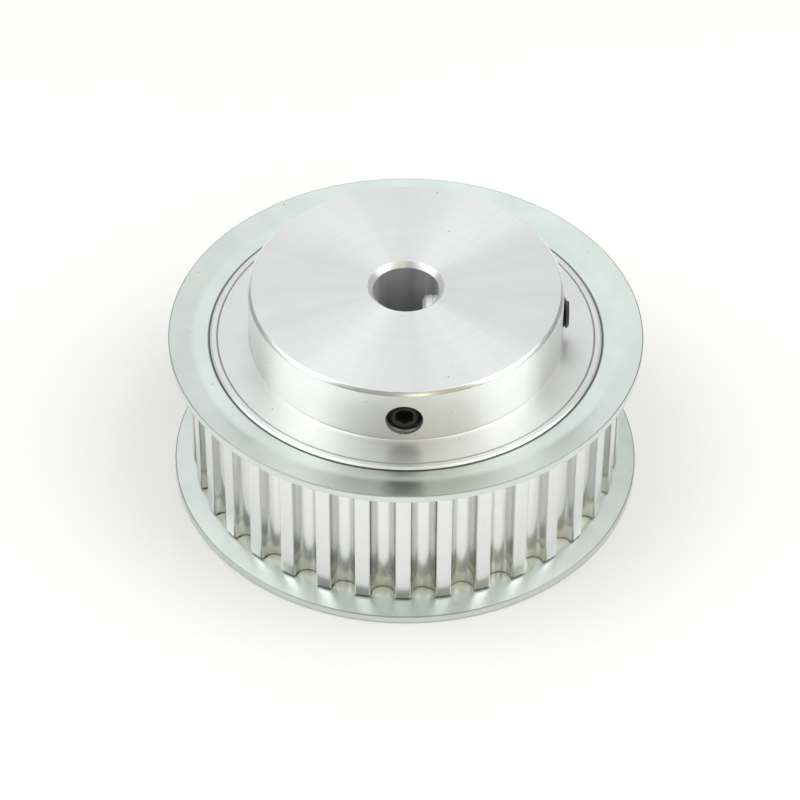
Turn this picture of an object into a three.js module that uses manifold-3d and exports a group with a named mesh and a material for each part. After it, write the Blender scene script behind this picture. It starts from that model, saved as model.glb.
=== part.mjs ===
// A 34-tooth timing belt pulley for a 15 mm belt with a 5 mm pitch, in millimetres, +Z up.
// It stands on the rim of its lower flange, with its shaft axis on Z and its hub at the top.
// The pulley is one turned and hobbed aluminium body. A dished sheet-steel flange is staked to
// each end of the toothed rim, and two hex-socket setscrews, 90 degrees apart, clamp the shaft.

import * as THREE from 'three';
import { mergeVertices } from 'three/addons/utils/BufferGeometryUtils.js';
import Module from 'manifold-3d';

const wasm = await Module();
wasm.setup();

// Belt profile, HTD 5M: round-bottomed grooves with a small round on each tooth tip.
const TEETH = 34;
const BELT_PITCH = 5;
const PITCH_LINE_OFFSET = 0.5715;
const GROOVE_DEPTH = 2.06;
const GROOVE_RADIUS = 1.49;
const TIP_ROUND = 0.22;
const TOOTH_STEP = (2 * Math.PI) / TEETH;
const TOOTH_RADIUS = (TEETH * BELT_PITCH) / (2 * Math.PI) - PITCH_LINE_OFFSET;

// Flanges: sheet thickness, radii and the angle at which the rim leans away from the belt.
const SHEET = 1.0;
const FLANGE_RADIUS = 28.8;
const FLANGE_BEND_RADIUS = 25.8;
const FLANGE_BORE_RADIUS = 23.7;
const FLANGE_LEAN = THREE.MathUtils.degToRad(12.4);
const RIM_RISE = (FLANGE_RADIUS - FLANGE_BEND_RADIUS) * Math.tan(FLANGE_LEAN);
const RIM_DEPTH = RIM_RISE + SHEET / Math.cos(FLANGE_LEAN);
const BORE_CHAMFER = 0.3;
const BORE_CHAMFER_DEPTH = 0.4;

// Heights along the shaft axis.
const FACE_WIDTH = 18;
const TEETH_BOTTOM = RIM_DEPTH;
const TEETH_TOP = TEETH_BOTTOM + FACE_WIDTH;
const END_FACE = 0.3;
const SHOULDER = TEETH_TOP + TEETH_BOTTOM - END_FACE;
const BODY_LENGTH = 28;
const HUB_FACE = END_FACE + BODY_LENGTH;

// Hub, shaft bore and the staked lip that holds each flange.
const HUB_RADIUS = 19;
const HUB_CHAMFER = 0.4;
const HUB_FILLET = 0.4;
const SHAFT_RADIUS = 4;
const SHAFT_CHAMFER = 0.6;
const SPIGOT_RADIUS = 23.4;
const LIP_RADIUS = 23.75;
const LIP_TOP_RADIUS = 23.5;
const LIP_EDGE_DEPTH = 0.175;
const LIP_UNDERCUT_DEPTH = 0.56;
const STAKING_GROOVE_RADIUS = 22.85;
const STAKING_GROOVE_HALF_WIDTH = 0.15;
const STAKING_GROOVE_DEPTH = 0.2;

// M4 x 12 cup-point setscrews and their holes, halfway up the hub.
const SCREW_RADIUS = 1.85;
const SCREW_LENGTH = 12;
const POINT_CHAMFER = 0.6;
const SOCKET_END_CHAMFER = 0.3;
const SCREW_CUP_RADIUS = 1;
const SCREW_CUP_DEPTH = 0.5;
const SOCKET_ACROSS_FLATS = 2;
const SOCKET_DEPTH = 2;
const SCREW_HOLE_RADIUS = 2.1;
const SCREW_HEIGHT = 24.1;
const FRONT_SCREW_RECESS = 0.5;
const SIDE_SCREW_PROUD = 0.65;

// How finely round things are divided.
const ROUND_SEGMENTS = 2 * TEETH;
const GROOVE_SEGMENTS = 8;
const TIP_SEGMENTS = 2;
const FILLET_SEGMENTS = 3;
const SCREW_SEGMENTS = 24;

const ALUMINIUM = new THREE.MeshStandardMaterial({ color: 0xd9dbd8, roughness: 0.34, metalness: 1 });
const ZINC_PLATE = new THREE.MeshStandardMaterial({ color: 0xc6d1cd, roughness: 0.28, metalness: 1 });
const BLACK_OXIDE = new THREE.MeshStandardMaterial({ color: 0x23231f, roughness: 0.45, metalness: 1 });

// A closed geometry as a manifold solid.
function toSolid(geometry) {
  const bare = geometry.clone();
  bare.deleteAttribute('normal');
  bare.deleteAttribute('uv');
  const merged = mergeVertices(bare, 1e-5);
  return new wasm.Manifold(new wasm.Mesh({
    numProp: 3,
    vertProperties: new Float32Array(merged.attributes.position.array),
    triVerts: new Uint32Array(merged.index.array),
  }));
}

// A manifold solid as a geometry.
function toGeometry(solid) {
  const mesh = solid.getMesh();
  const geometry = new THREE.BufferGeometry();
  geometry.setAttribute('position', new THREE.BufferAttribute(mesh.vertProperties, 3));
  geometry.setIndex(new THREE.BufferAttribute(mesh.triVerts, 1));
  geometry.computeVertexNormals();
  return geometry;
}

function named(name, geometry, material) {
  const mesh = new THREE.Mesh(geometry, material);
  mesh.name = name;
  return mesh;
}

// A closed outline of [radius, height] pairs, counterclockwise, turned about Z.
function turned(outline, segments) {
  const points = outline.map(([radius, height]) => new THREE.Vector2(radius, height));
  const geometry = new THREE.LatheGeometry(points, segments);
  return geometry.rotateX(Math.PI / 2);
}

// Points on an arc, both ends included.
function arc(centreX, centreY, radius, from, to, segments) {
  const points = [];
  for (let i = 0; i <= segments; i += 1) {
    const angle = from + ((to - from) * i) / segments;
    points.push([centreX + radius * Math.cos(angle), centreY + radius * Math.sin(angle)]);
  }
  return points;
}

// One groove and the two tooth tips beside it, with the groove pointing along +Y.
function grooveOutline() {
  const centre = TOOTH_RADIUS - GROOVE_DEPTH + GROOVE_RADIUS;
  const tipX = GROOVE_RADIUS + TIP_ROUND;
  const tipY = Math.sqrt((TOOTH_RADIUS - TIP_ROUND) ** 2 - tipX ** 2);
  const tipEnd = Math.atan2(tipY, tipX);
  const rightTip = arc(tipX, tipY, TIP_ROUND, tipEnd, Math.PI, TIP_SEGMENTS);
  const leftTip = rightTip.map(([x, y]) => [-x, y]).reverse();
  const root = arc(0, centre, GROOVE_RADIUS, 0, -Math.PI, GROOVE_SEGMENTS);
  return [...rightTip, ...root, ...leftTip];
}

// The toothed rim, with the middle of one tooth facing -Y.
function toothedRim() {
  const groove = grooveOutline();
  const axis = new THREE.Vector2();
  const outline = [];
  for (let tooth = 0; tooth < TEETH; tooth += 1) {
    const turn = Math.PI + (tooth + 0.5) * TOOTH_STEP;
    const points = groove.map(([x, y]) => new THREE.Vector2(x, y).rotateAround(axis, turn));
    outline.push(...points);
  }
  const shape = new THREE.Shape(outline);
  const middle = new THREE.Path();
  middle.absarc(0, 0, STAKING_GROOVE_RADIUS - 1, 0, 2 * Math.PI, true);
  shape.holes.push(middle);
  const geometry = new THREE.ExtrudeGeometry(shape, {
    depth: FACE_WIDTH,
    bevelEnabled: false,
    curveSegments: ROUND_SEGMENTS,
  });
  return geometry.translate(0, 0, TEETH_BOTTOM);
}

// Hub, shoulder, spigots, staked lips and chamfered shaft bore, all turned in one piece.
function turnedCore() {
  const endSide = [
    [SHAFT_RADIUS + SHAFT_CHAMFER, 0],
    [STAKING_GROOVE_RADIUS - STAKING_GROOVE_HALF_WIDTH, 0],
    [STAKING_GROOVE_RADIUS, STAKING_GROOVE_DEPTH],
    [STAKING_GROOVE_RADIUS + STAKING_GROOVE_HALF_WIDTH, 0],
    [LIP_TOP_RADIUS, 0],
    [LIP_RADIUS, LIP_EDGE_DEPTH],
    [SPIGOT_RADIUS, LIP_UNDERCUT_DEPTH],
  ];
  const hubSide = endSide.slice(1).reverse();
  const fillet = arc(
    HUB_RADIUS + HUB_FILLET,
    SHOULDER + HUB_FILLET,
    HUB_FILLET,
    1.5 * Math.PI,
    Math.PI,
    FILLET_SEGMENTS,
  );
  return turned([
    ...endSide.map(([radius, depth]) => [radius, END_FACE + depth]),
    ...hubSide.map(([radius, depth]) => [radius, SHOULDER - depth]),
    ...fillet,
    [HUB_RADIUS, HUB_FACE - HUB_CHAMFER],
    [HUB_RADIUS - HUB_CHAMFER, HUB_FACE],
    [SHAFT_RADIUS + SHAFT_CHAMFER, HUB_FACE],
    [SHAFT_RADIUS, HUB_FACE - SHAFT_CHAMFER],
    [SHAFT_RADIUS, END_FACE + SHAFT_CHAMFER],
    [SHAFT_RADIUS + SHAFT_CHAMFER, END_FACE],
  ], ROUND_SEGMENTS);
}

// Puts a piece made along +Z onto the axis of the front or the side setscrew.
function alongFrontScrew(object, distance) {
  object.rotation.x = Math.PI / 2;
  object.position.set(0, -distance, SCREW_HEIGHT);
  return object;
}

function alongSideScrew(object, distance) {
  object.rotation.y = Math.PI / 2;
  object.position.set(distance, 0, SCREW_HEIGHT);
  return object;
}

// A drill through the hub wall, from inside the bore to outside the hub.
function screwHoleCutter(place) {
  const length = HUB_RADIUS + 1;
  const drill = new THREE.CylinderGeometry(
    SCREW_HOLE_RADIUS,
    SCREW_HOLE_RADIUS,
    length,
    SCREW_SEGMENTS,
  );
  drill.rotateX(Math.PI / 2);
  drill.translate(0, 0, length / 2 + SHAFT_RADIUS / 2);
  const holder = place(new THREE.Object3D(), 0);
  holder.updateMatrix();
  return toSolid(drill.applyMatrix4(holder.matrix));
}

function pulleyBody() {
  const solid = toSolid(toothedRim())
    .add(toSolid(turnedCore()))
    .subtract(screwHoleCutter(alongFrontScrew))
    .subtract(screwHoleCutter(alongSideScrew));
  return named('pulley_body', toGeometry(solid), ALUMINIUM);
}

// A flange lying with its belt side down: a flat ring with a rim that leans up and out.
function flange(name) {
  const bendShift = SHEET * Math.tan(FLANGE_LEAN / 2);
  const geometry = turned([
    [FLANGE_BORE_RADIUS, 0],
    [FLANGE_BEND_RADIUS, 0],
    [FLANGE_RADIUS, RIM_RISE],
    [FLANGE_RADIUS, RIM_DEPTH],
    [FLANGE_BEND_RADIUS - bendShift, SHEET],
    [FLANGE_BORE_RADIUS + BORE_CHAMFER, SHEET],
    [FLANGE_BORE_RADIUS, SHEET - BORE_CHAMFER_DEPTH],
    [FLANGE_BORE_RADIUS, 0],
  ], ROUND_SEGMENTS);
  return named(name, geometry, ZINC_PLATE);
}

// A setscrew with its cup point at the origin and its hex socket facing +Z.
function setscrew(name) {
  const shank = turned([
    [0, SCREW_CUP_DEPTH],
    [SCREW_CUP_RADIUS, 0],
    [SCREW_RADIUS - POINT_CHAMFER, 0],
    [SCREW_RADIUS, POINT_CHAMFER],
    [SCREW_RADIUS, SCREW_LENGTH - SOCKET_END_CHAMFER],
    [SCREW_RADIUS - SOCKET_END_CHAMFER, SCREW_LENGTH],
    [0, SCREW_LENGTH],
  ], SCREW_SEGMENTS);
  const cornerRadius = SOCKET_ACROSS_FLATS / Math.sqrt(3);
  const socket = new THREE.CylinderGeometry(cornerRadius, cornerRadius, 2 * SOCKET_DEPTH, 6);
  socket.rotateX(Math.PI / 2).translate(0, 0, SCREW_LENGTH);
  return named(name, toGeometry(toSolid(shank).subtract(toSolid(socket))), BLACK_OXIDE);
}

const group = new THREE.Group();

group.add(pulleyBody());

const hubSideFlange = flange('flange_hub_side');
hubSideFlange.position.z = TEETH_TOP;
group.add(hubSideFlange);

const endSideFlange = flange('flange_end_side');
endSideFlange.rotation.x = Math.PI;
endSideFlange.position.z = TEETH_BOTTOM;
group.add(endSideFlange);

const frontScrewTip = HUB_RADIUS - FRONT_SCREW_RECESS - SCREW_LENGTH;
group.add(alongFrontScrew(setscrew('setscrew_front'), frontScrewTip));

const sideScrewTip = HUB_RADIUS + SIDE_SCREW_PROUD - SCREW_LENGTH;
group.add(alongSideScrew(setscrew('setscrew_side'), sideScrewTip));

export default group;
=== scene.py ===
"""The looks of a flanged timing belt pulley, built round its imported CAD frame.

Shapes are drawn in millimetres in the frame's own axes and scaled to metres when a mesh is made.
The heights, the flanges' radius and the places of the screws come from the frame. The other sizes
repeat the CAD's, or give the fine shapes that it leaves out.
"""

import math

import bmesh
import bpy
from mathutils import Matrix, Vector


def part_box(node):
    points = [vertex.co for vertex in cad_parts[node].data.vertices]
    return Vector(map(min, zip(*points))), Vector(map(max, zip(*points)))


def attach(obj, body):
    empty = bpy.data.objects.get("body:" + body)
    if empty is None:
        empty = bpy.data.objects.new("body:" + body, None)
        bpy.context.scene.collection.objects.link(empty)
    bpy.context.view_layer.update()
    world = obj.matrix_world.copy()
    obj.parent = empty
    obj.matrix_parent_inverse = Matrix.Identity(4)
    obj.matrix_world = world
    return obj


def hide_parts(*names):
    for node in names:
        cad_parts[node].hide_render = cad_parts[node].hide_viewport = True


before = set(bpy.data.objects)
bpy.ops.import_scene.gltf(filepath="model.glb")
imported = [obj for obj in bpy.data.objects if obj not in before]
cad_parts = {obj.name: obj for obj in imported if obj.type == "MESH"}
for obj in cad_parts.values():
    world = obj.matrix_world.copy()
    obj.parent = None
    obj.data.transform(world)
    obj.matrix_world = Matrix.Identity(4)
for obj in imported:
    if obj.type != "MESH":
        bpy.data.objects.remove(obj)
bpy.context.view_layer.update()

MM = 0.001
MERGE_DISTANCE = 0.0005


def reach(node):
    """The lowest and the highest corner of a CAD node, in millimetres."""
    low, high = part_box(node)
    return Vector(low) / MM, Vector(high) / MM


BODY_LOW, BODY_HIGH = reach("pulley_body")
HUB_FLANGE_LOW, HUB_FLANGE_HIGH = reach("flange_hub_side")
END_FLANGE_LOW, END_FLANGE_HIGH = reach("flange_end_side")
FRONT_SCREW_LOW, FRONT_SCREW_HIGH = reach("setscrew_front")
SIDE_SCREW_LOW = reach("setscrew_side")[0]

# Heights, from the frame.
END_FACE = BODY_LOW.z
HUB_FACE = BODY_HIGH.z
TEETH_BOTTOM = END_FLANGE_HIGH.z
TEETH_TOP = HUB_FLANGE_LOW.z
RIM_DEPTH = TEETH_BOTTOM - END_FLANGE_LOW.z
SHOULDER_DROP = 0.15  # the photograph shows the shoulder a little lower than the CAD has it
SHOULDER = TEETH_TOP + TEETH_BOTTOM - END_FACE - SHOULDER_DROP

# Belt teeth, HTD 5M: round-bottomed grooves between narrow lands.
TEETH = 34
BELT_PITCH = 5.0
PITCH_LINE_OFFSET = 0.5715
TOOTH_RADIUS = TEETH * BELT_PITCH / math.tau - PITCH_LINE_OFFSET
GROOVE_DEPTH = 2.06
GROOVE_RADIUS = 1.49
TIP_ROUND = 0.22
GROOVE_STEPS = 16
TIP_STEPS = 3
LAND_STEPS = 3
RIM_CHAMFER = 0.3

# Hub, shaft bore and the lip rolled over each flange.
HUB_RADIUS = 19.0
HUB_CHAMFER = 0.4
HUB_FILLET = 0.1
HUB_CHAMFER_ROUND = 0.08
HUB_RIDGE_RADIUS = 19.1
HUB_RIDGE_WIDTH = 0.18
HUB_RIDGE_HEIGHT = 0.09
SHAFT_RADIUS = 4.0
SHAFT_CHAMFER = 0.6
SHAFT_WALL_ROUND = 0.06
SHAFT_FACE_ROUND = 0.05
SPIGOT_RADIUS = 23.4
LIP_RADIUS = 23.83
LIP_TOP_RADIUS = 23.55
LIP_TOP_DEPTH = 0.02
LIP_TOP_ROUND = 0.25
LIP_EDGE_DEPTH = 0.2
LIP_EDGE_ROUND = 0.06
LIP_UNDERCUT_DEPTH = 0.56
LIP_UNDERCUT_ROUND = 0.04
STAKING_GROOVE_RADIUS = 22.88
STAKING_GROOVE_HALF_WIDTH = 0.11
STAKING_GROOVE_DEPTH = 0.22
STAKING_GROOVE_ROUND = 0.03

# Two plain strips of the hub's side, at its foot and at its chamfer. The screw holes cut the wall
# between them, and the strips keep its shading even there.
FOOT_STRIP = 0.5
CHAMFER_STRIP = 0.3

# Flanges.
SHEET = 1.0
FLANGE_RADIUS = HUB_FLANGE_HIGH.x
FLANGE_BEND_RADIUS = 25.8
FLANGE_BORE_RADIUS = 23.7
FLANGE_LEAN = math.radians(12.4)
FLANGE_SEGMENTS = 480
BEND_INSIDE = 4.5
SHEET_EDGE_ROUND = 0.14
SHEET_CORNER_ROUND = 0.05
BORE_BEVEL_WIDTH = 0.15
BORE_BEVEL_DEPTH = 0.2

# M4 setscrews and their tapped holes.
THREAD_PITCH = 0.7
THREAD_CREST = 2.0
THREAD_ROOT = 1.57
HOLE_CREST = 2.08
HOLE_ROOT = 2.22
HOLE_MOUTH = 2.23
TAP_CHAMFER = 0.5
SCREW_LENGTH = FRONT_SCREW_HIGH.y - FRONT_SCREW_LOW.y
SCREW_HEIGHT = (FRONT_SCREW_LOW.z + FRONT_SCREW_HIGH.z) / 2
SCREW_END_CHAMFER = 0.5
SCREW_END_RADIUS = THREAD_ROOT - 0.1
CUP_RADIUS = 1.0
CUP_DEPTH = 0.5
SOCKET_ACROSS_FLATS = 2.0
SOCKET_DEPTH = 2.0
SOCKET_DRILL_POINT = 0.5
SOCKET_LEAD_IN = 0.07
THREAD_SEGMENTS = 48
SPARE_TURNS = 2

# The thread's section as (sixteenths of the pitch, share of its height): crest, flank, root, flank.
THREAD_SECTION = [(-1, 1), (1, 1), (3.5, 0.5), (6, 0), (10, 0), (12.5, 0.5)]

# Shapes that cut: how far each runs past a surface, and the small radius that a cone ends in.
TAP_OVERSHOOT = 2.0
CLEARANCE = 1.0
OVERLAP = 0.1
CUP_OVERLAP = 0.2
LEAD_IN_OVERLAP = 0.2
CONE_END = 0.02

# The numbers of the body's finishes.
TURNED, HOBBED, REAMED, BRIGHT = range(4)

# How near to a wall a face lies that has the wall's finish.
SHAFT_WALL_MARGIN = 0.01
HUB_WALL_MARGIN = 0.04
LAND_MARGIN = 0.03
SPIGOT_MARGIN = 0.1

# Camera, at the photograph's angle.
CAMERA_ELEVATION = math.radians(43.27)
CAMERA_TURN = math.radians(0.5)
CAMERA_DISTANCE = 406.2
CAMERA_TARGET = Vector((-0.67, 0.0, 9.52))
CAMERA_ROLL = math.radians(0.22)
CAMERA_LENS = 147.7
SENSOR_WIDTH = 36
NEAREST_SEEN = 10
FURTHEST_SEEN = 20000

# Floor and soft lights, with powers in watts.
FLOOR_HALF = 3000
LIT_POINT = (0, 0, 15)
SOFTBOX_PLACE = Vector((345, -60, 460))
SOFTBOX_SIZE = (440, 540)
SOFTBOX_POWER = 0.89
WARM_LAMP_PLACE = (50, -300, 290)
WARM_LAMP_SIZE = (100, 60)
WARM_LAMP_POWER = 0.027
WARM_LIGHT = (1.0, 0.97, 0.76)
CEILING_PLACE = (200, -450, 650)
CEILING_SIZE = (1500, 1200)
CEILING_POWER = 2.25

# The colour sockets of a Mix node, which other kinds of value share their names with.
MIX_FIRST = 6
MIX_SECOND = 7
MIX_RESULT = 2

SPECK_COLOUR = (0.16, 0.15, 0.13)


# ---------------------------------------------------------------- mesh helpers


def rounded(corners, steps=4):
    """The points of an outline given as (x, y, radius) corners, each rounded with its radius."""
    points = []
    for i, (x, y, radius) in enumerate(corners):
        corner = Vector((x, y))
        if radius == 0 or i in (0, len(corners) - 1):
            points.append(corner)
            continue
        before = (Vector(corners[i - 1][:2]) - corner).normalized()
        after = (Vector(corners[i + 1][:2]) - corner).normalized()
        half = before.angle(after) / 2
        middle = corner + (before + after).normalized() * radius / math.sin(half)
        start = corner + before * radius / math.tan(half) - middle
        end = corner + after * radius / math.tan(half) - middle
        turn = start.angle_signed(end)
        for step in range(steps + 1):
            points.append(middle + Matrix.Rotation(-turn * step / steps, 2) @ start)
    return points


def ring(radius, height, count, offset=0.0):
    """Points evenly round the Z axis, the first one towards -Y."""
    angles = [math.tau * (i + offset) / count - math.pi / 2 for i in range(count)]
    return [Vector((radius * math.cos(a), radius * math.sin(a), height)) for a in angles]


def mesh_piece(name, points, faces, *materials):
    """An object made of points in millimetres and faces."""
    mesh = bpy.data.meshes.new(name)
    mesh.from_pydata([Vector(p) * MM for p in points], [], faces)
    piece = bpy.data.objects.new(name, mesh)
    bpy.context.collection.objects.link(piece)
    for material in materials:
        mesh.materials.append(material)
    return piece


def quads(rows, count, closed=False):
    """Faces between neighbouring rings of points, and if closed from the last ring to the first."""
    faces = []
    for i in range(rows if closed else rows - 1):
        near = i * count
        far = (i + 1) % rows * count
        for j in range(count):
            k = (j + 1) % count
            faces.append((near + j, near + k, far + k, far + j))
    return faces


def tidy_mesh(piece, fill=False):
    """Merges points that coincide, closes open rings if asked, and turns all faces outwards."""
    shape = bmesh.new()
    shape.from_mesh(piece.data)
    bmesh.ops.remove_doubles(shape, verts=shape.verts, dist=MERGE_DISTANCE * MM)
    if fill:
        bmesh.ops.holes_fill(shape, edges=shape.edges, sides=0)
    bmesh.ops.recalc_face_normals(shape, faces=shape.faces)
    shape.to_mesh(piece.data)
    shape.free()
    return piece


def skinned(name, rings, *materials):
    """A closed ring-shaped piece through rings of points, the last one joined to the first."""
    points = [point for each in rings for point in each]
    faces = quads(len(rings), len(rings[0]), closed=True)
    return tidy_mesh(mesh_piece(name, points, faces, *materials))


def turned(name, outline, segments, *materials):
    """A closed outline of (radius, height) points turned about the Z axis."""
    return skinned(name, [ring(r, z, segments) for r, z in outline], *materials)


def solid_of_revolution(name, outline, segments):
    """A solid rod whose outline of (radius, height) points runs from one end to the other."""
    points = [point for r, z in outline for point in ring(r, z, segments)]
    return tidy_mesh(mesh_piece(name, points, quads(len(outline), segments)), fill=True)


def moved(piece, matrix):
    """Moves the points of a piece by a matrix in millimetres."""
    shift = Matrix.Translation(matrix.translation * MM) @ matrix.to_3x3().to_4x4()
    piece.data.transform(shift)
    return piece


def cut(piece, cutter):
    """Takes the cutter's volume out of a piece."""
    change = piece.modifiers.new("cut", "BOOLEAN")
    change.operation = "DIFFERENCE"
    change.solver = "EXACT"
    change.object = cutter
    bpy.context.view_layer.update()
    seen = piece.evaluated_get(bpy.context.evaluated_depsgraph_get())
    mesh = bpy.data.meshes.new_from_object(seen)
    piece.modifiers.clear()
    piece.data = mesh
    bpy.data.objects.remove(cutter)


def smooth(piece, sharp_from=math.radians(32)):
    """Shades a piece smooth, with its large faces flat and its sharp edges sharp."""
    piece.data.shade_smooth()
    piece.data.set_sharp_from_angle(angle=sharp_from)
    even = piece.modifiers.new("even_normals", "WEIGHTED_NORMAL")
    even.keep_sharp = True
    even.weight = 100
    return piece


def placed(piece, node, body):
    """Makes a finished piece stand for a CAD node, on its body."""
    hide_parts(node)
    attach(piece, body)


# ---------------------------------------------------------------- node helpers


def node(tree, kind, inputs=None, **settings):
    """A new node with its settings, and its inputs set to values or linked to sockets."""
    made = tree.nodes.new(kind)
    for key, value in settings.items():
        setattr(made, key, value)
    for key, value in (inputs or {}).items():
        if isinstance(value, bpy.types.NodeSocket):
            tree.links.new(value, made.inputs[key])
        else:
            made.inputs[key].default_value = value
    return made


def math_node(tree, operation, *values):
    """The result of one operation on numbers or sockets."""
    return node(tree, "ShaderNodeMath", dict(enumerate(values)), operation=operation).outputs[0]


def ranged(tree, value, low, high, to_low, to_high, smoothly=False):
    """A value mapped from one range to another, clamped."""
    kind = "SMOOTHSTEP" if smoothly else "LINEAR"
    inputs = {
        "Value": value,
        "From Min": low,
        "From Max": high,
        "To Min": to_low,
        "To Max": to_high,
    }
    made = node(tree, "ShaderNodeMapRange", inputs, interpolation_type=kind)
    return made.outputs["Result"]


def vector_node(tree, operation, inputs):
    """The outputs of one operation on vectors."""
    return node(tree, "ShaderNodeVectorMath", inputs, operation=operation).outputs


def near_line(tree, value, line, full, end, strength):
    """A strength that holds up to one distance from a line and has faded to 0 at another."""
    distance = math_node(tree, "ABSOLUTE", math_node(tree, "SUBTRACT", value, line))
    return ranged(tree, distance, full, end, strength, 0.0)


def new_material(name):
    """An empty node material, as (material, tree, shader)."""
    made = bpy.data.materials.new(name)
    made.use_nodes = True
    tree = made.node_tree
    tree.nodes.clear()
    shader = node(tree, "ShaderNodeBsdfPrincipled")
    output = node(tree, "ShaderNodeOutputMaterial")
    tree.links.new(shader.outputs[0], output.inputs[0])
    return made, tree, shader


def millimetres(tree):
    """The place on the object, in millimetres, as a vector socket."""
    place = node(tree, "ShaderNodeTexCoord").outputs["Object"]
    return vector_node(tree, "SCALE", {0: place, "Scale": 1 / MM})[0]


def stretched(tree, place, factors):
    """A place with each of its coordinates multiplied by a factor."""
    return vector_node(tree, "MULTIPLY", {0: place, 1: factors})[0]


def from_axis(tree, place):
    """Distance from the Z axis."""
    flat = stretched(tree, place, (1, 1, 0))
    return vector_node(tree, "LENGTH", {0: flat})["Value"]


def around(tree, place):
    """The direction from the Z axis, the same all along a radius and up a wall."""
    flat = stretched(tree, place, (1, 1, 0))
    return vector_node(tree, "NORMALIZE", {0: flat})[0]


def height_of(tree, place):
    """Height above the floor."""
    return node(tree, "ShaderNodeSeparateXYZ", {0: place}).outputs["Z"]


def noise(tree, place, scale, detail=2.0, roughness=0.5):
    """Three-dimensional noise, 0 to 1."""
    inputs = {"Vector": place, "Scale": scale, "Detail": detail, "Roughness": roughness}
    return node(tree, "ShaderNodeTexNoise", inputs).outputs["Fac"]


def line_noise(tree, distance, scale, detail=2.0):
    """Noise along a line, 0 to 1, so it draws rings on a turned face."""
    inputs = {"W": distance, "Scale": scale, "Detail": detail}
    made = node(tree, "ShaderNodeTexNoise", inputs, noise_dimensions="1D")
    return made.outputs["Fac"]


def mixed(tree, amount, first, second):
    """A colour between two, each a socket or three numbers, by an amount from 0 to 1."""
    inputs = {"Factor": amount}
    for key, colour in ((MIX_FIRST, first), (MIX_SECOND, second)):
        is_socket = isinstance(colour, bpy.types.NodeSocket)
        inputs[key] = colour if is_socket else (*colour, 1)
    return node(tree, "ShaderNodeMix", inputs, data_type="RGBA").outputs[MIX_RESULT]


def blended(tree, first, second, share):
    """Two values mixed; share is how much of the second one."""
    kept = math_node(tree, "MULTIPLY", first, 1 - share)
    return math_node(tree, "MULTIPLY_ADD", second, share, kept)


def specked(tree, place, colour):
    """A colour with small dark specks of dust in about half of the cells of a loose pattern."""
    cells = node(tree, "ShaderNodeTexVoronoi", {"Vector": place, "Scale": 0.45}).outputs
    chosen = math_node(tree, "GREATER_THAN", cells["Color"], 0.5)
    inside = ranged(tree, cells["Distance"], 0.05, 0.02, 0.0, 1.0)
    return mixed(tree, math_node(tree, "MULTIPLY", chosen, inside), colour, SPECK_COLOUR)


def bumped(tree, height, strength, distance):
    """A surface normal raised by height."""
    inputs = {"Height": height, "Strength": strength, "Distance": distance * MM}
    return node(tree, "ShaderNodeBump", inputs).outputs["Normal"]


def round_tangent(tree):
    """The direction round the Z axis, which turned grain follows."""
    return node(tree, "ShaderNodeTangent", direction_type="RADIAL", axis="Z").outputs[0]


# ---------------------------------------------------------------- materials


def turned_aluminium():
    """Bare aluminium with the fine rings that a lathe tool leaves, and painted shade in the staking
    groove and at the hub's foot.
    """
    made, tree, shader = new_material("turned_aluminium")
    place = millimetres(tree)
    radius = from_axis(tree, place)
    height = height_of(tree, place)
    distance = math_node(tree, "ADD", radius, height)
    fine = line_noise(tree, distance, 7.0, 3.0)
    broad = line_noise(tree, distance, 0.9, 2.0)
    cloud = noise(tree, place, 0.16, 3.0)
    chatter = noise(tree, around(tree, place), 5.0, 3.0)
    rings = blended(tree, fine, broad, 0.4)
    shade = blended(tree, blended(tree, rings, cloud, 0.4), chatter, 0.4)
    shade = ranged(tree, shade, 0.38, 0.62, 0.0, 1.0)
    colour = mixed(tree, shade, (0.855, 0.866, 0.856), (0.935, 0.946, 0.936))
    # Painted shade: a dark line in the staking groove.
    painted_shade = near_line(tree, radius, STAKING_GROOVE_RADIUS, full=0.07, end=0.13, strength=0.55)
    colour = mixed(tree, painted_shade, colour, (0.34, 0.33, 0.31))
    # Painted shade: a dark band in the corner where the hub's side meets the shoulder.
    on_hub = ranged(tree, radius, HUB_RADIUS + 0.02, HUB_RADIUS + 0.05, 1.0, 0.0)
    at_foot = near_line(tree, height, SHOULDER, full=0.1, end=0.18, strength=0.6)
    foot_shade = math_node(tree, "MULTIPLY", at_foot, on_hub)
    colour = mixed(tree, foot_shade, colour, (0.30, 0.28, 0.24))
    colour = specked(tree, place, colour)
    tree.links.new(colour, shader.inputs["Base Color"])
    tree.links.new(ranged(tree, rings, 0.3, 0.7, 0.33, 0.39), shader.inputs["Roughness"])
    tree.links.new(bumped(tree, fine, 0.25, 0.004), shader.inputs["Normal"])
    tree.links.new(round_tangent(tree), shader.inputs["Tangent"])
    shader.inputs["Metallic"].default_value = 1
    shader.inputs["Anisotropic"].default_value = 0.85
    shader.inputs["Anisotropic Rotation"].default_value = 0.25
    return made


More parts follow.
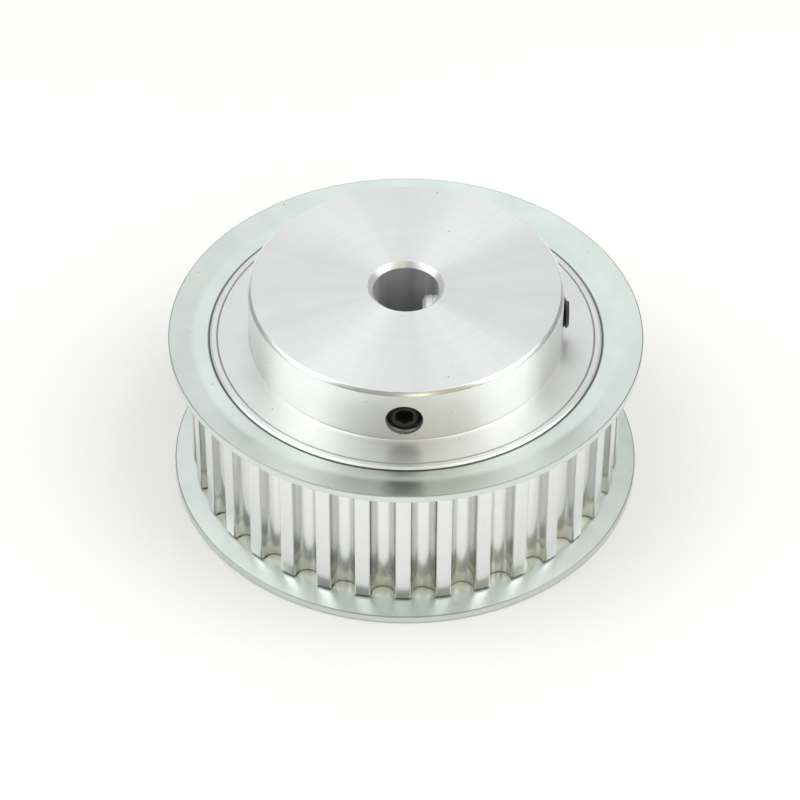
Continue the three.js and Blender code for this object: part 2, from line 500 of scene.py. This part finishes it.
def hobbed_aluminium():
    """Bare aluminium of the tooth grooves, with faint lines along the shaft axis and painted shade
    at the teeth's foot.
    """
    made, tree, shader = new_material("hobbed_aluminium")
    place = millimetres(tree)
    lines = noise(tree, stretched(tree, place, (1, 1, 0.06)), 5.0, 3.0)
    cloud = noise(tree, place, 0.5, 2.0)
    colour = mixed(tree, cloud, (0.80, 0.81, 0.81), (0.87, 0.88, 0.88))
    root = TOOTH_RADIUS - GROOVE_DEPTH
    flank = ranged(tree, from_axis(tree, place), root + 0.12, root + 0.35, 0.0, 0.5)
    colour = mixed(tree, flank, colour, (0.62, 0.62, 0.62))
    from_foot = math_node(tree, "SUBTRACT", height_of(tree, place), TEETH_BOTTOM)
    # Painted shade: the teeth darker towards the lower flange.
    painted_shade = ranged(tree, from_foot, 0.1, 2.4, 0.35, 0.0)
    colour = mixed(tree, painted_shade, colour, (0.45, 0.46, 0.43))
    # Painted shade: a near-black line in the crevice at the teeth's foot, against the lower flange.
    crevice_shade = ranged(tree, from_foot, 0.08, 0.2, 0.85, 0.0)
    colour = mixed(tree, crevice_shade, colour, (0.06, 0.06, 0.05))
    tree.links.new(colour, shader.inputs["Base Color"])
    tree.links.new(ranged(tree, lines, 0.3, 0.7, 0.16, 0.23), shader.inputs["Roughness"])
    tree.links.new(bumped(tree, lines, 0.1, 0.002), shader.inputs["Normal"])
    shader.inputs["Metallic"].default_value = 1
    return made


def cream_glare_patches(tree, place, radius):
    """How much painted cream glare lies on the flanges between the teeth, 0 to 1, in soft patches.
    """
    height = height_of(tree, place)
    among_teeth = ranged(tree, radius, TOOTH_RADIUS - 0.15, TOOTH_RADIUS, 1.0, 0.0)
    above = ranged(tree, height, TEETH_TOP - 0.1, TEETH_TOP, 1.0, 0.0)
    below = ranged(tree, height, TEETH_BOTTOM - 0.1, TEETH_BOTTOM, 0.0, 1.0)
    facing_teeth = math_node(tree, "MULTIPLY", above, below)
    patches = ranged(tree, noise(tree, place, 0.35, 1.0), 0.35, 0.55, 0.35, 1.0)
    glare_area = math_node(tree, "MULTIPLY", among_teeth, facing_teeth)
    return math_node(tree, "MULTIPLY", glare_area, patches)


def zinc_plate():
    """Bright zinc plate on pressed sheet steel: slightly green, with a soft unevenness, a painted
    cream highlight between the teeth and painted shade at the bore.
    """
    made, tree, shader = new_material("zinc_plate")
    place = millimetres(tree)
    cloud = noise(tree, place, 0.22, 4.0)
    grain = noise(tree, place, 9.0, 2.0)
    cloud = ranged(tree, cloud, 0.35, 0.65, 0.0, 1.0)
    colour = mixed(tree, cloud, (0.765, 0.83, 0.80), (0.83, 0.895, 0.865))
    radius = from_axis(tree, place)
    # Painted highlight: bright cream glare in soft patches on the flanges between the teeth, which
    # are also made less metallic there.
    cream_glare = cream_glare_patches(tree, place, radius)
    colour = mixed(tree, cream_glare, colour, (0.97, 1.0, 0.84))
    edge = ranged(tree, radius, FLANGE_RADIUS - 0.06, FLANGE_RADIUS - 0.02, 0.0, 0.45)
    colour = mixed(tree, edge, colour, (0.50, 0.52, 0.51))
    edge_line = near_line(tree, radius, FLANGE_RADIUS - 0.1, full=0.03, end=0.07, strength=0.8)
    colour = mixed(tree, edge_line, colour, (0.20, 0.21, 0.20))
    # Painted shade: a near-black ring at the flange's bore, where the lip meets it.
    crevice_shade = ranged(tree, radius, FLANGE_BORE_RADIUS + 0.27, FLANGE_BORE_RADIUS + 0.4, 0.85, 0.0)
    colour = mixed(tree, crevice_shade, colour, (0.08, 0.08, 0.07))
    colour = specked(tree, place, colour)
    tree.links.new(colour, shader.inputs["Base Color"])
    tree.links.new(ranged(tree, cream_glare, 0.0, 1.0, 1.0, 0.0), shader.inputs["Metallic"])
    tree.links.new(ranged(tree, grain, 0.3, 0.7, 0.28, 0.34), shader.inputs["Roughness"])
    tree.links.new(bumped(tree, grain, 0.15, 0.004), shader.inputs["Normal"])
    return made


def bright_aluminium():
    """Smooth freshly cut aluminium of the hub's chamfer and the lands between the grooves."""
    made, tree, shader = new_material("bright_aluminium")
    place = millimetres(tree)
    grain = noise(tree, place, 1.2, 2.0)
    colour = mixed(tree, grain, (0.765, 0.775, 0.77), (0.83, 0.84, 0.835))
    tree.links.new(colour, shader.inputs["Base Color"])
    tree.links.new(ranged(tree, grain, 0.3, 0.7, 0.20, 0.24), shader.inputs["Roughness"])
    shader.inputs["Metallic"].default_value = 1
    return made


def reamed_aluminium():
    """Duller aluminium of the shaft bore and the tapped holes, in soft streaks, with painted shade
    that darkens the tapped holes near to black.
    """
    made, tree, shader = new_material("reamed_aluminium")
    place = millimetres(tree)
    streaks = noise(tree, stretched(tree, place, (1, 1, 0.03)), 0.45, 1.0)
    shade = ranged(tree, streaks, 0.35, 0.65, 0.0, 1.0)
    colour = mixed(tree, shade, (0.50, 0.51, 0.52), (0.80, 0.81, 0.82))
    radius = from_axis(tree, place)
    # Painted shade: the tapped holes' walls darkened near to black.
    hole_shade = ranged(tree, radius, SHAFT_RADIUS + 0.5, SHAFT_RADIUS + 2.0, 0.0, 0.8)
    colour = mixed(tree, hole_shade, colour, (0.06, 0.06, 0.05))
    tree.links.new(colour, shader.inputs["Base Color"])
    tree.links.new(ranged(tree, streaks, 0.3, 0.7, 0.24, 0.36), shader.inputs["Roughness"])
    shader.inputs["Metallic"].default_value = 0.6
    return made


def black_oxide():
    """Black oxide on hardened steel: dark, slightly brown, with a dull sheen."""
    made, tree, shader = new_material("black_oxide")
    place = millimetres(tree)
    cloud = noise(tree, place, 1.5, 3.0)
    grain = noise(tree, place, 14.0, 2.0)
    colour = mixed(tree, cloud, (0.020, 0.020, 0.018), (0.045, 0.044, 0.040))
    tree.links.new(colour, shader.inputs["Base Color"])
    tree.links.new(ranged(tree, grain, 0.3, 0.7, 0.34, 0.48), shader.inputs["Roughness"])
    tree.links.new(bumped(tree, grain, 0.2, 0.006), shader.inputs["Normal"])
    shader.inputs["Metallic"].default_value = 0.35
    return made


def matt_white():
    """The plain pale floor."""
    made, tree, shader = new_material("matt_white")
    place = millimetres(tree)
    cloud = noise(tree, place, 0.004, 2.0)
    colour = mixed(tree, cloud, (0.93, 0.93, 0.93), (0.95, 0.95, 0.95))
    tree.links.new(colour, shader.inputs["Base Color"])
    shader.inputs["Roughness"].default_value = 0.9
    shader.inputs["Specular IOR Level"].default_value = 0.1
    return made


# ---------------------------------------------------------------- the pulley body


def arc(centre, radius, start, end, steps):
    """Points along an arc from one angle to another, with both of its ends."""
    x, y = centre
    angles = [start + (end - start) * i / steps for i in range(steps + 1)]
    return [Vector((x + radius * math.cos(a), y + radius * math.sin(a))) for a in angles]


def tooth_outline():
    """One groove towards -Y with the tip beside it and the land after it, as flat points."""
    groove_y = TOOTH_RADIUS - GROOVE_DEPTH + GROOVE_RADIUS
    tip_x = GROOVE_RADIUS + TIP_ROUND
    tip_y = math.sqrt((TOOTH_RADIUS - TIP_ROUND) ** 2 - tip_x**2)
    tip_end = math.atan2(tip_y, tip_x)
    root = arc((0, -groove_y), GROOVE_RADIUS, math.pi, 0, GROOVE_STEPS)
    right_tip = arc((tip_x, -tip_y), TIP_ROUND, -math.pi, -tip_end, TIP_STEPS)
    left_tip = [Vector((-x, y)) for x, y in reversed(right_tip)]
    land_start = -tip_end
    land_end = tip_end - math.pi + math.tau / TEETH
    land = arc((0, 0), TOOTH_RADIUS, land_start, land_end, LAND_STEPS)[1:-1]
    return left_tip + root + right_tip + land


def toothed_ring(height, largest=TOOTH_RADIUS):
    """The outline of the whole toothed rim, with the middle of one tooth facing -Y."""
    outline = tooth_outline()
    points = []
    for tooth in range(TEETH):
        turn = Matrix.Rotation(math.tau * (tooth + 0.5) / TEETH, 2)
        for point in outline:
            inside = point * min(1, largest / point.length)
            points.append((turn @ inside).to_3d() + Vector((0, 0, height)))
    return points


def end_outline(face, inwards):
    """Corners of one end of the body, staking groove to spigot; inwards is +1 or -1."""
    groove_in = STAKING_GROOVE_RADIUS - STAKING_GROOVE_HALF_WIDTH
    groove_out = STAKING_GROOVE_RADIUS + STAKING_GROOVE_HALF_WIDTH
    corners = [
        (groove_in, 0, STAKING_GROOVE_ROUND),
        (STAKING_GROOVE_RADIUS, STAKING_GROOVE_DEPTH, STAKING_GROOVE_ROUND),
        (groove_out, 0, STAKING_GROOVE_ROUND),
        (LIP_TOP_RADIUS, LIP_TOP_DEPTH, LIP_TOP_ROUND),
        (LIP_RADIUS, LIP_EDGE_DEPTH, LIP_EDGE_ROUND),
        (SPIGOT_RADIUS, LIP_UNDERCUT_DEPTH, LIP_UNDERCUT_ROUND),
    ]
    return [(r, face + inwards * depth, round_off) for r, depth, round_off in corners]


def bore_mouth(face, inwards):
    """Corners of the chamfer where the shaft bore meets an end face."""
    return [
        (SHAFT_RADIUS, face + inwards * SHAFT_CHAMFER, SHAFT_WALL_ROUND),
        (SHAFT_RADIUS + SHAFT_CHAMFER, face, SHAFT_FACE_ROUND),
    ]


def body_rings():
    """Rings of points that go once round the body's section."""
    toothed = toothed_ring(0)
    count = len(toothed)
    offset = math.atan2(toothed[0].x, -toothed[0].y) / math.tau * count
    end_side = [
        (SHAFT_RADIUS, (END_FACE + HUB_FACE) / 2, 0),
        *bore_mouth(END_FACE, 1),
        *end_outline(END_FACE, 1),
        (SPIGOT_RADIUS, TEETH_BOTTOM, 0),
    ]
    hub_side = [
        (SPIGOT_RADIUS, TEETH_TOP, 0),
        *reversed(end_outline(SHOULDER, -1)),
        (HUB_RIDGE_RADIUS + HUB_RIDGE_WIDTH, SHOULDER, 0),
        (HUB_RIDGE_RADIUS, SHOULDER + HUB_RIDGE_HEIGHT, 0),
        (HUB_RADIUS, SHOULDER + HUB_RIDGE_HEIGHT, HUB_FILLET),
        (HUB_RADIUS, SHOULDER + FOOT_STRIP, 0),
        (HUB_RADIUS, HUB_FACE - HUB_CHAMFER - CHAMFER_STRIP, 0),
        (HUB_RADIUS, HUB_FACE - HUB_CHAMFER, HUB_CHAMFER_ROUND),
        (HUB_RADIUS - HUB_CHAMFER, HUB_FACE, HUB_CHAMFER_ROUND),
        *reversed(bore_mouth(HUB_FACE, -1)),
        (SHAFT_RADIUS, (END_FACE + HUB_FACE) / 2, 0),
    ]
    rings = [ring(r, z, count, offset) for r, z in rounded(end_side)]
    rings.append(toothed_ring(TEETH_BOTTOM, TOOTH_RADIUS - RIM_CHAMFER))
    rings.append(toothed_ring(TEETH_BOTTOM + RIM_CHAMFER))
    rings.append(toothed_ring(TEETH_TOP - RIM_CHAMFER))
    rings.append(toothed_ring(TEETH_TOP, TOOTH_RADIUS - RIM_CHAMFER))
    rings += [ring(r, z, count, offset) for r, z in rounded(hub_side)[:-1]]
    return rings


def threaded_rod(name, length, crest, root, end_radius, chamfer):
    """A rod along +Z with a right-handed thread and a chamfer at each end."""
    turns = math.ceil(length / THREAD_PITCH)
    rows = []
    for turn in range(-SPARE_TURNS, turns + SPARE_TURNS):
        for sixteenths, rise in THREAD_SECTION:
            rows.append(((turn + sixteenths / 16) * THREAD_PITCH, root + (crest - root) * rise))
    points = []
    for start, radius in rows:
        for j in range(THREAD_SEGMENTS):
            angle = math.tau * j / THREAD_SEGMENTS
            z = min(max(start + THREAD_PITCH * j / THREAD_SEGMENTS, 0), length)
            limit = end_radius + (crest - end_radius) * min(z, length - z) / chamfer
            r = min(radius, limit)
            points.append((r * math.cos(angle), r * math.sin(angle), z))
    faces = []
    for i in range(len(rows) - 1):
        for j in range(THREAD_SEGMENTS):
            here = i * THREAD_SEGMENTS + j
            there = here + 1
            if j == THREAD_SEGMENTS - 1:
                there = (i + len(THREAD_SECTION)) * THREAD_SEGMENTS
            if there + THREAD_SEGMENTS < len(points):
                faces.append((here, there, there + THREAD_SEGMENTS, here + THREAD_SEGMENTS))
    return tidy_mesh(mesh_piece(name, points, faces), fill=True)


def towards_front(piece, distance):
    """Turns a piece made along +Z towards -Y and puts its start at a distance from the axis."""
    place = Matrix.Translation((0, -distance, SCREW_HEIGHT))
    return moved(piece, place @ Matrix.Rotation(math.pi / 2, 4, "X"))


def towards_side(piece, distance):
    """Turns a piece made along +Z towards +X and puts its start at a distance from the axis."""
    place = Matrix.Translation((distance, 0, SCREW_HEIGHT))
    return moved(piece, place @ Matrix.Rotation(math.pi / 2, 4, "Y"))


def finish_of(place):
    """The number of the finish that the body has at a place."""
    radius = math.hypot(place.x, place.y)
    in_bore = radius < SHAFT_RADIUS + SHAFT_WALL_MARGIN
    at_screw_height = abs(place.z - SCREW_HEIGHT) < HOLE_ROOT
    if in_bore or (at_screw_height and radius < HUB_RADIUS - HUB_WALL_MARGIN):
        return REAMED
    at_chamfer_height = HUB_FACE - HUB_CHAMFER < place.z < HUB_FACE
    if at_chamfer_height and radius > HUB_RADIUS - HUB_CHAMFER:
        return BRIGHT
    between_flanges = TEETH_BOTTOM < place.z < TEETH_TOP
    if between_flanges and radius > TOOTH_RADIUS - LAND_MARGIN:
        return BRIGHT
    if between_flanges and radius > SPIGOT_RADIUS + SPIGOT_MARGIN:
        return HOBBED
    return TURNED


def tapped_hole(body, towards):
    """Cuts a tapped hole from the shaft bore out through the hub's side, with a bevelled mouth."""
    start = SHAFT_RADIUS - TAP_OVERSHOOT
    length = HUB_RADIUS + TAP_OVERSHOOT - start
    end_radius = HOLE_CREST - TAP_CHAMFER
    tap = threaded_rod("tap", length, HOLE_ROOT, HOLE_CREST, end_radius, TAP_CHAMFER)
    cut(body, towards(tap, start))
    inner = HOLE_CREST - OVERLAP
    sag = HUB_RADIUS - math.sqrt(HUB_RADIUS**2 - HOLE_MOUTH**2)
    funnel = [
        (inner, inner - HOLE_MOUTH - sag),
        (HOLE_MOUTH, -sag),
        (HOLE_MOUTH, CLEARANCE),
    ]
    mouth = solid_of_revolution("mouth", funnel, THREAD_SEGMENTS)
    cut(body, towards(mouth, HUB_RADIUS))


def pulley_body(*finishes):
    """Hub, toothed rim and rolled lips in one piece, with two tapped holes in the hub."""
    body = skinned("body", body_rings(), *finishes)
    tapped_hole(body, towards_front)
    tapped_hole(body, towards_side)
    for face in body.data.polygons:
        face.material_index = finish_of(face.center / MM)
    return smooth(body)


# ---------------------------------------------------------------- flanges and screws


def flange(name, finish):
    """A pressed ring lying with its belt side down at height 0, its rim leaning up and out."""
    rise = RIM_DEPTH - SHEET / math.cos(FLANGE_LEAN)
    lean = SHEET * math.tan(FLANGE_LEAN / 2)
    outline = rounded(
        [
            (FLANGE_BORE_RADIUS, SHEET / 2, 0),
            (FLANGE_BORE_RADIUS, 0, SHEET_CORNER_ROUND),
            (FLANGE_BEND_RADIUS, 0, BEND_INSIDE + SHEET),
            (FLANGE_RADIUS, rise, SHEET_EDGE_ROUND),
            (FLANGE_RADIUS, RIM_DEPTH, SHEET_EDGE_ROUND),
            (FLANGE_BEND_RADIUS - lean, SHEET, BEND_INSIDE),
            (FLANGE_BORE_RADIUS + BORE_BEVEL_WIDTH, SHEET, SHEET_CORNER_ROUND),
            (FLANGE_BORE_RADIUS, SHEET - BORE_BEVEL_DEPTH, SHEET_CORNER_ROUND),
            (FLANGE_BORE_RADIUS, SHEET / 2, 0),
        ]
    )[:-1]
    return turned(name, outline, FLANGE_SEGMENTS, finish)


def setscrew(name, finish):
    """An M4 cup-point setscrew with its point at the origin and its hex socket facing +Z."""
    screw = threaded_rod(
        name, SCREW_LENGTH, THREAD_CREST, THREAD_ROOT, SCREW_END_RADIUS, SCREW_END_CHAMFER
    )
    corner = SOCKET_ACROSS_FLATS / math.sqrt(3)
    bottom = SCREW_LENGTH - SOCKET_DEPTH
    socket = [
        (CONE_END, bottom - SOCKET_DRILL_POINT),
        (corner, bottom),
        (corner, SCREW_LENGTH + CLEARANCE),
    ]
    cut(screw, solid_of_revolution("socket", socket, 6))
    lead_in = [
        (corner - LEAD_IN_OVERLAP, SCREW_LENGTH - SOCKET_LEAD_IN - LEAD_IN_OVERLAP),
        (corner + SOCKET_LEAD_IN + OVERLAP, SCREW_LENGTH + OVERLAP),
    ]
    cut(screw, solid_of_revolution("lead_in", lead_in, THREAD_SEGMENTS))
    cup = [
        (CUP_RADIUS * (1 + CUP_OVERLAP), -CUP_DEPTH * CUP_OVERLAP),
        (CONE_END, CUP_DEPTH),
    ]
    cut(screw, solid_of_revolution("cup", cup, THREAD_SEGMENTS))
    screw.data.materials.clear()
    screw.data.materials.append(finish)
    return smooth(screw)


# ---------------------------------------------------------------- stage


def floor(finish):
    """A plain floor that the lower flange's rim stands on."""
    signs = [(-1, -1), (1, -1), (1, 1), (-1, 1)]
    corners = [(FLOOR_HALF * x, FLOOR_HALF * y, 0) for x, y in signs]
    made = mesh_piece("floor", corners, [(0, 1, 2, 3)], finish)


def area_light(name, place, size, power, colour=(1, 1, 1)):
    """A rectangular soft light at a place in millimetres, facing the part."""
    data = bpy.data.lights.new(name, "AREA")
    data.shape = "RECTANGLE"
    data.size = size[0] * MM
    data.size_y = size[1] * MM
    data.energy = power
    data.color = colour
    made = bpy.data.objects.new(name, data)
    made.location = Vector(place) * MM
    towards = Vector(LIT_POINT) - Vector(place)
    made.rotation_euler = towards.to_track_quat("-Z", "Y").to_euler()
    bpy.context.collection.objects.link(made)
    return made


def tent_walls(tree, axes):
    """The pale walls behind and above, darker at both sides and towards the floor."""
    right = ranged(tree, axes["X"], 0.05, 0.45, 0.0, 1.0, smoothly=True)
    wall = mixed(tree, right, (0.90, 0.92, 0.915), (0.63, 0.625, 0.615))
    left = ranged(tree, axes["X"], -0.3, -0.55, 0.0, 1.0, smoothly=True)
    wall = mixed(tree, left, wall, (0.66, 0.655, 0.645))
    rise = ranged(tree, axes["Z"], 0.2, 0.6, 0.66, 1.0)
    return vector_node(tree, "SCALE", {0: wall, "Scale": rise})[0]


def room_in_front(tree, axes):
    """The dim room seen through the tent's opening, warmer to the right and darker below."""
    warmth = ranged(tree, axes["X"], -0.15, 0.3, 0.0, 1.0, smoothly=True)
    room = mixed(tree, warmth, (0.43, 0.42, 0.37), (0.57, 0.535, 0.38))
    height = ranged(tree, axes["Z"], 0.25, 0.65, 0.38, 1.0, smoothly=True)
    return vector_node(tree, "SCALE", {0: room, "Scale": height})[0]


def light_tent():
    """A white light tent as the world: pale walls all round, with its opening in front."""
    world = bpy.data.worlds.new("tent")
    world.use_nodes = True
    bpy.context.scene.world = world
    tree = world.node_tree
    tree.nodes.clear()
    direction = node(tree, "ShaderNodeTexCoord").outputs["Generated"]
    axes = node(tree, "ShaderNodeSeparateXYZ", {0: direction}).outputs
    opening = ranged(tree, axes["Y"], -0.15, -0.6, 0.0, 1.0, smoothly=True)
    colour = mixed(tree, opening, tent_walls(tree, axes), room_in_front(tree, axes))
    background = node(tree, "ShaderNodeBackground", {"Color": colour, "Strength": 1.0})
    output = node(tree, "ShaderNodeOutputWorld")
    tree.links.new(background.outputs[0], output.inputs[0])


def lights():
    """A softbox at each side, a small warm lamp in front and a wide ceiling that isn't reflected."""
    area_light("left_softbox", SOFTBOX_PLACE * Vector((-1, 1, 1)), SOFTBOX_SIZE, SOFTBOX_POWER)
    area_light("right_softbox", SOFTBOX_PLACE, SOFTBOX_SIZE, SOFTBOX_POWER)
    area_light("warm_lamp", WARM_LAMP_PLACE, WARM_LAMP_SIZE, WARM_LAMP_POWER, WARM_LIGHT)
    ceiling = area_light("ceiling", CEILING_PLACE, CEILING_SIZE, CEILING_POWER)
    ceiling.visible_glossy = False


def camera():
    """The camera, at the photograph's angle."""
    data = bpy.data.cameras.new("camera")
    data.lens = CAMERA_LENS
    data.sensor_width = SENSOR_WIDTH
    data.clip_start = NEAREST_SEEN * MM
    data.clip_end = FURTHEST_SEEN * MM
    made = bpy.data.objects.new("camera", data)
    back = Vector((0, -math.cos(CAMERA_ELEVATION), math.sin(CAMERA_ELEVATION)))
    back.rotate(Matrix.Rotation(CAMERA_TURN, 3, "Z"))
    made.location = (CAMERA_TARGET + back * CAMERA_DISTANCE) * MM
    aim = (-back).to_track_quat("-Z", "Y").to_matrix()
    made.rotation_euler = (aim @ Matrix.Rotation(CAMERA_ROLL, 3, "Z")).to_euler()
    bpy.context.collection.objects.link(made)
    bpy.context.scene.camera = made


# ---------------------------------------------------------------- the scene

ZINC = zinc_plate()
BLACK = black_oxide()

BODY = pulley_body(
    turned_aluminium(), hobbed_aluminium(), reamed_aluminium(), bright_aluminium()
)
placed(BODY, "pulley_body", "pulley")

HUB_FLANGE = flange("hub_flange", ZINC)
moved(HUB_FLANGE, Matrix.Translation((0, 0, TEETH_TOP)))
placed(smooth(HUB_FLANGE), "flange_hub_side", "pulley")

END_FLANGE = flange("end_flange", ZINC)
moved(END_FLANGE, Matrix.Translation((0, 0, TEETH_BOTTOM)) @ Matrix.Rotation(math.pi, 4, "X"))
placed(smooth(END_FLANGE), "flange_end_side", "pulley")

FRONT_SCREW = towards_front(setscrew("front_screw", BLACK), -FRONT_SCREW_HIGH.y)
placed(FRONT_SCREW, "setscrew_front", "front_setscrew")

SIDE_SCREW = towards_side(setscrew("side_screw", BLACK), SIDE_SCREW_LOW.x)
placed(SIDE_SCREW, "setscrew_side", "side_setscrew")

floor(matt_white())
light_tent()
lights()
camera()
bpy.context.scene.view_settings.view_transform = "Standard"
